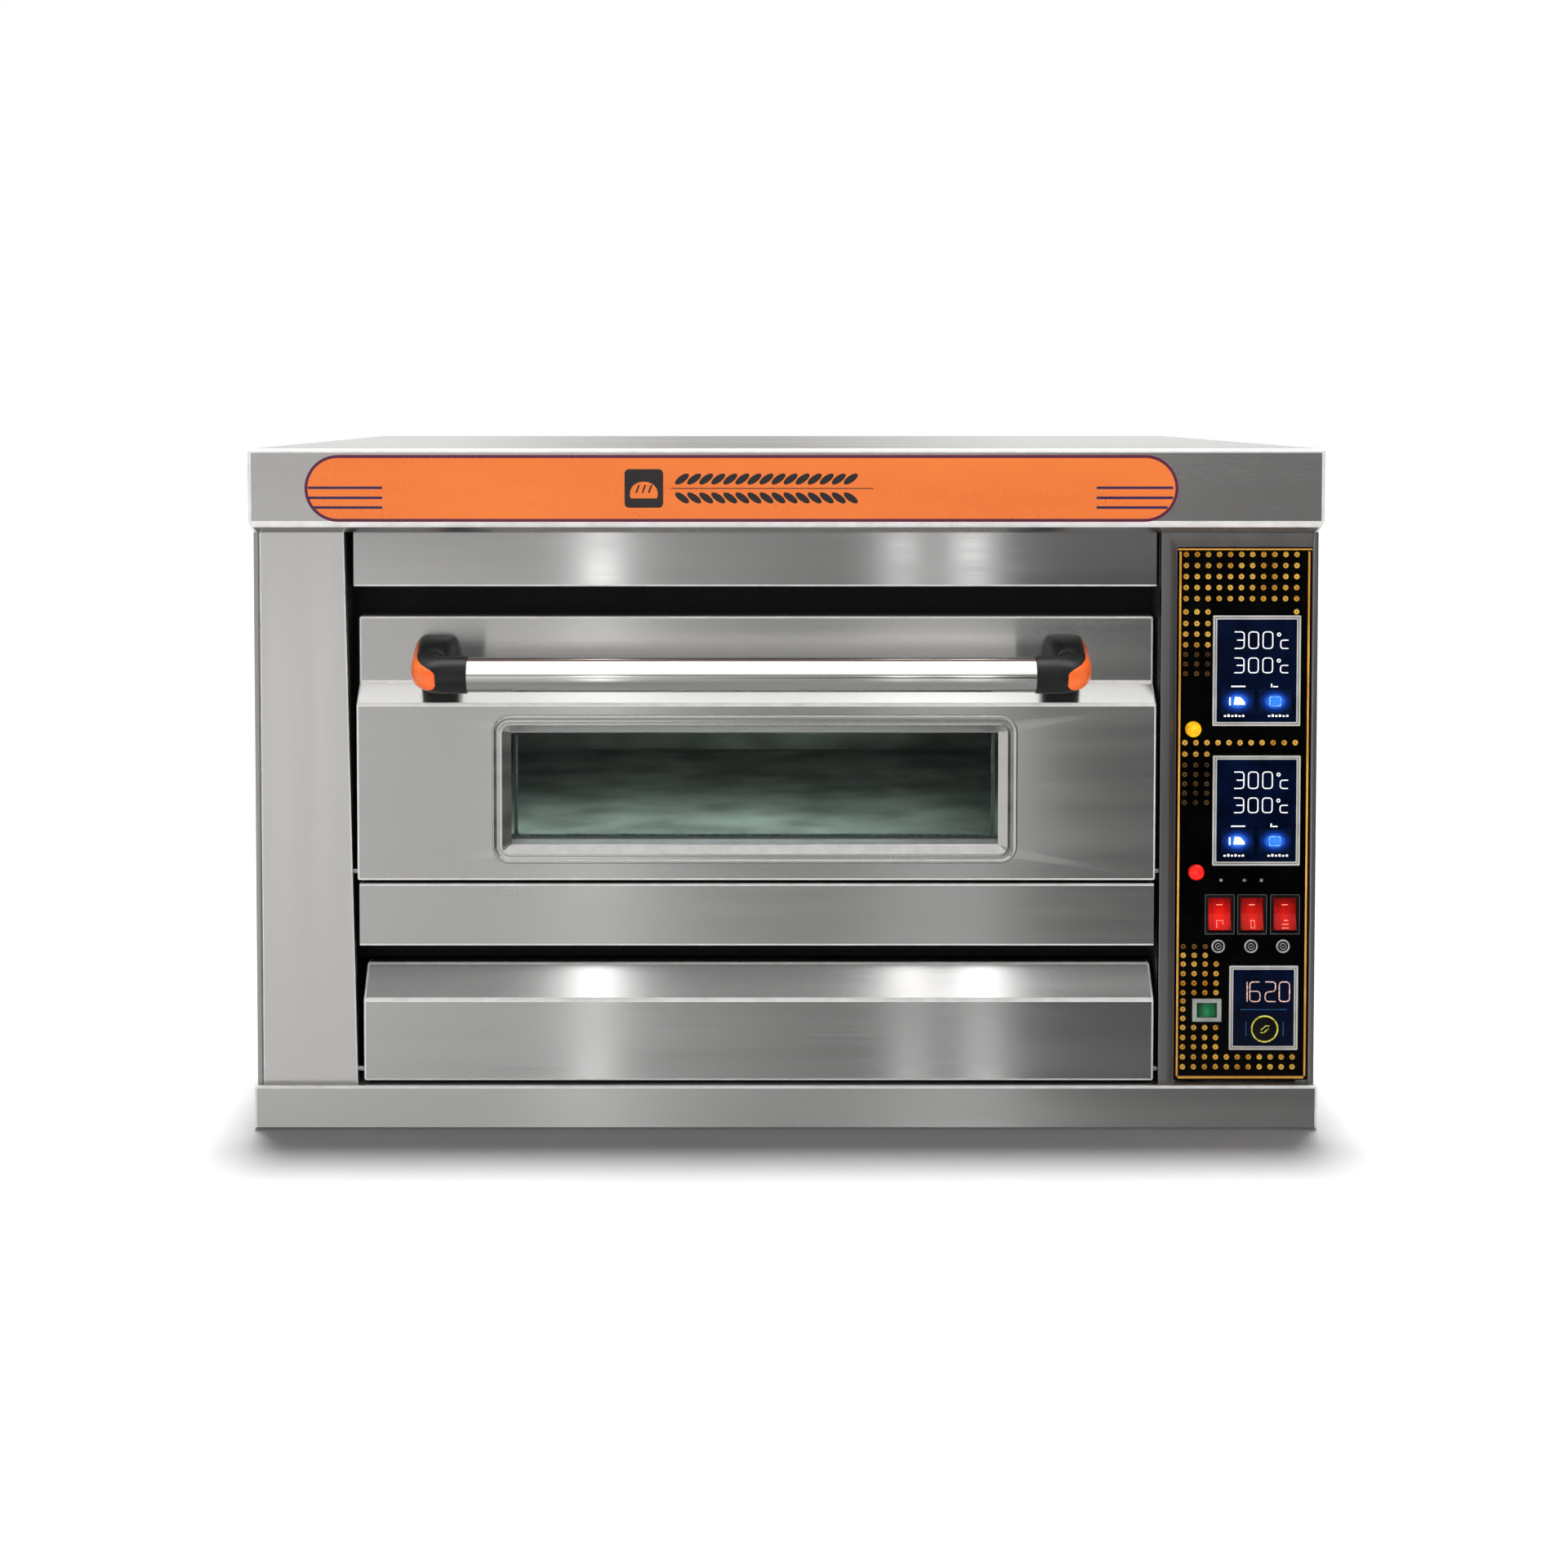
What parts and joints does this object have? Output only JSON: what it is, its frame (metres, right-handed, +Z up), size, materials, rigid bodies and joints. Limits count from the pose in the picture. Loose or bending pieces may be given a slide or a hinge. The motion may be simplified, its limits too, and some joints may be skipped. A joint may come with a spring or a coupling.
{
  "type": "deck oven",
  "caption": "Bakery deck oven with a drop-down glazed door, a drop-down burner flap and a control column at the right.",
  "frame": {"origin": "middle of the overall footprint, on the floor", "axes": "+Z up, front (door and handle) towards -Y, +X to the right as seen from the front, where the control column is"},
  "size_m": [1.2, 0.9304, 0.767],
  "materials": {
    "brushed_stainless": "vertical brushed stainless sheet",
    "inner_sheet": "plain stainless sheet",
    "chamber_sheet": "heat-toned stainless sheet",
    "orange_decal": "printed film",
    "black_plastic": "moulded",
    "orange_plastic": "moulded",
    "polished_stainless": "polished",
    "window_glass": "clear toughened",
    "panel_black": "printed acrylic",
    "display_frame": "moulded",
    "display_glass": "tinted window over a lit display",
    "red_switch": "translucent, lit",
    "green_switch": "translucent, lit",
    "switch_frame": "satin",
    "yellow_lamp": "translucent, lit",
    "red_lamp": "translucent, lit",
    "chrome_ring": "polished",
    "indicator_lens": "translucent",
    "dark_button": "moulded",
    "mineral_wool": "matted fibre",
    "stone": "fired",
    "rubber": "moulded",
    "gasket": "braided glass fibre",
    "burner_steel": "heat-darkened",
    "gas_pipe": "gloss paint",
    "brass": "turned",
    "zinc_steel": "zinc plated",
    "white_ceramic": "glazed",
    "grey_plastic": "moulded"
  },
  "bodies": {
    "cabinet": {"base_plinth": "brushed_stainless", "feet": "rubber", "frame_members": "zinc_steel", "left_side_panel": "brushed_stainless", "left_front_panel": "brushed_stainless", "right_side_panel": "brushed_stainless", "back_panel": "inner_sheet", "rear_screws": "zinc_steel", "canopy": "brushed_stainless", "decal_band": "orange_decal", "fascia_panel": "brushed_stainless", "lower_front_strip": "brushed_stainless", "partition_walls": "inner_sheet", "hinge_bushes": "brass", "chamber_front_frame": "chamber_sheet", "chamber_liner": "chamber_sheet", "deck_plate": "stone", "chamber_insulation": "mineral_wool", "chamber_lamp_lens": "window_glass", "chamber_lamp_housing": "zinc_steel", "thermocouples": "inner_sheet", "lower_burners": "burner_steel", "upper_burners": "burner_steel", "gas_pipes": "gas_pipe", "solenoid_valves": "brass", "flue_duct": "inner_sheet", "igniters": "white_ceramic", "power_supply_and_terminals": "grey_plastic", "cable_gland": "black_plastic", "control_column": "brushed_stainless", "control_panel": "panel_black", "display_bezels": "display_frame", "display_glasses": "display_glass", "controller_housings": "black_plastic", "switch_housings": "black_plastic", "rocker_bezels": "black_plastic", "green_switch_bezel": "switch_frame", "yellow_pilot_lamp": "yellow_lamp", "red_pilot_lamp": "red_lamp", "indicator_bezels": "chrome_ring", "indicator_lenses": "indicator_lens"},
    "door": {"door_outer_skin": "brushed_stainless", "door_inner_skin": "inner_sheet", "door_insulation": "mineral_wool", "window_frame": "polished_stainless", "outer_glass": "window_glass", "inner_glass": "window_glass", "glass_spacers": "gasket", "handle_brackets": "black_plastic", "handle_caps": "orange_plastic", "handle_tube": "polished_stainless", "door_pins": "zinc_steel", "door_gasket": "gasket"},
    "burner_flap": {"burner_flap": "brushed_stainless"},
    "red_rocker_1": {"red_rocker_1": "red_switch"},
    "red_rocker_2": {"red_rocker_2": "red_switch"},
    "red_rocker_3": {"red_rocker_3": "red_switch"},
    "green_rocker": {"green_rocker": "green_switch"},
    "timer_button": {"timer_button": "dark_button"}
  },
  "joints": [
    {"name": "door_hinge", "type": "hinge", "parent": "cabinet", "child": "door", "pos_m": [0, -0.37675, 0.29], "axis": [1, 0, 0], "range_deg": [0, 90]},
    {"name": "flap_hinge", "type": "hinge", "parent": "cabinet", "child": "burner_flap", "pos_m": [0, -0.37675, 0.065], "axis": [1, 0, 0], "range_deg": [0, 90]},
    {"name": "red_rocker_1_pivot", "type": "hinge", "parent": "cabinet", "child": "red_rocker_1", "pos_m": [0.4887, -0.37475, 0.2415], "axis": [1, 0, 0], "range_deg": [0, 14]},
    {"name": "red_rocker_2_pivot", "type": "hinge", "parent": "cabinet", "child": "red_rocker_2", "pos_m": [0.5252, -0.37475, 0.2415], "axis": [1, 0, 0], "range_deg": [0, 14]},
    {"name": "red_rocker_3_pivot", "type": "hinge", "parent": "cabinet", "child": "red_rocker_3", "pos_m": [0.5622, -0.37475, 0.2415], "axis": [1, 0, 0], "range_deg": [0, 14]},
    {"name": "green_rocker_pivot", "type": "hinge", "parent": "cabinet", "child": "green_rocker", "pos_m": [0.4752, -0.37475, 0.133], "axis": [0, 0, -1], "range_deg": [0, 14]},
    {"name": "timer_button_slide", "type": "slide", "parent": "cabinet", "child": "timer_button", "axis": [0, 1, 0], "range_m": [0, 0.0015], "stiffness_N_per_m": 400, "springref_m": -0.001}
  ]
}
